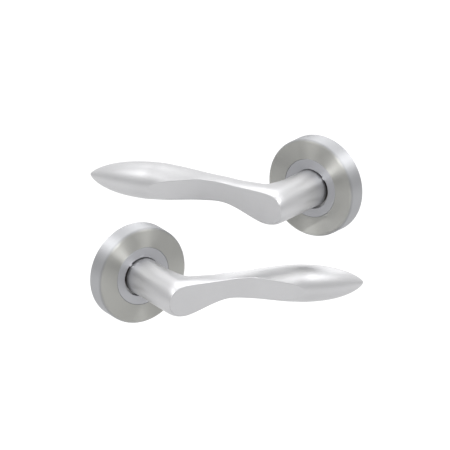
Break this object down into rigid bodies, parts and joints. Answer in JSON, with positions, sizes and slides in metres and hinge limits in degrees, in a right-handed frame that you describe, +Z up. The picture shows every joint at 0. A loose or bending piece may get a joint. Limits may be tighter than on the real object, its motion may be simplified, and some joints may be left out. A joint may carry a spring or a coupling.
{
  "type": "lever handle lockset",
  "caption": "Handed pair of satin lever handles, each on a sprung round rose with a square spindle; flat-faced blade flows into a teardrop grip.",
  "frame": {"origin": "centre of the right handle's door face: where its spindle's axis meets the door", "axes": "+Z up; +X to the right along the pair, from the right handle's rose towards the left handle's; +Y away from the viewer. Each handle's spindle axis is level and turned 33.2 degrees about Z, the right one's lever pointing right, the left one's pointing left"},
  "size_m": [0.1437, 0.11, 0.092],
  "materials": {
    "satin_chrome": "satin",
    "brushed_stainless": "brushed in circles",
    "ring_chrome": "satin",
    "black_nylon": "matt",
    "cast_zinc": "as cast, matt",
    "plain_steel": "dull",
    "bright_steel": "drawn",
    "spring_steel": "dark",
    "black_steel": "blackened",
    "zinc_plate": "bright zinc plate"
  },
  "bodies": {
    "roses": {"right_rose_cover": "brushed_stainless", "right_rose_ring": "ring_chrome", "right_bearing_bush": "black_nylon", "right_base_plate": "cast_zinc", "right_spring_cover": "plain_steel", "right_wood_screws": "zinc_plate", "right_cover_screws": "zinc_plate", "left_rose_cover": "brushed_stainless", "left_rose_ring": "ring_chrome", "left_bearing_bush": "black_nylon", "left_base_plate": "cast_zinc", "left_spring_cover": "plain_steel", "left_wood_screws": "zinc_plate", "left_cover_screws": "zinc_plate"},
    "right_lever_set": {"right_lever": "satin_chrome", "right_grub_screw": "black_steel", "right_spindle": "bright_steel", "right_thrust_washer": "bright_steel", "right_cam_plate": "plain_steel", "right_retaining_ring": "spring_steel", "right_return_spring": "spring_steel"},
    "left_lever_set": {"left_lever": "satin_chrome", "left_grub_screw": "black_steel", "left_spindle": "bright_steel", "left_thrust_washer": "bright_steel", "left_cam_plate": "plain_steel", "left_retaining_ring": "spring_steel", "left_return_spring": "spring_steel"}
  },
  "joints": [
    {"name": "right_lever_turn", "type": "hinge", "parent": "roses", "child": "right_lever_set", "pos_m": [0, 0, 0], "axis": [-0.5476, 0.8368, 0], "range_deg": [0, 45], "stiffness_Nm_per_rad": 0.9, "springref_deg": -28.65, "deforming": ["right_return_spring"]},
    {"name": "left_lever_turn", "type": "hinge", "parent": "roses", "child": "left_lever_set", "pos_m": [0.0945, 0.0336, 0.04], "axis": [-0.5476, -0.8368, 0], "range_deg": [0, 45], "stiffness_Nm_per_rad": 0.9, "springref_deg": -28.65, "deforming": ["left_return_spring"]}
  ]
}
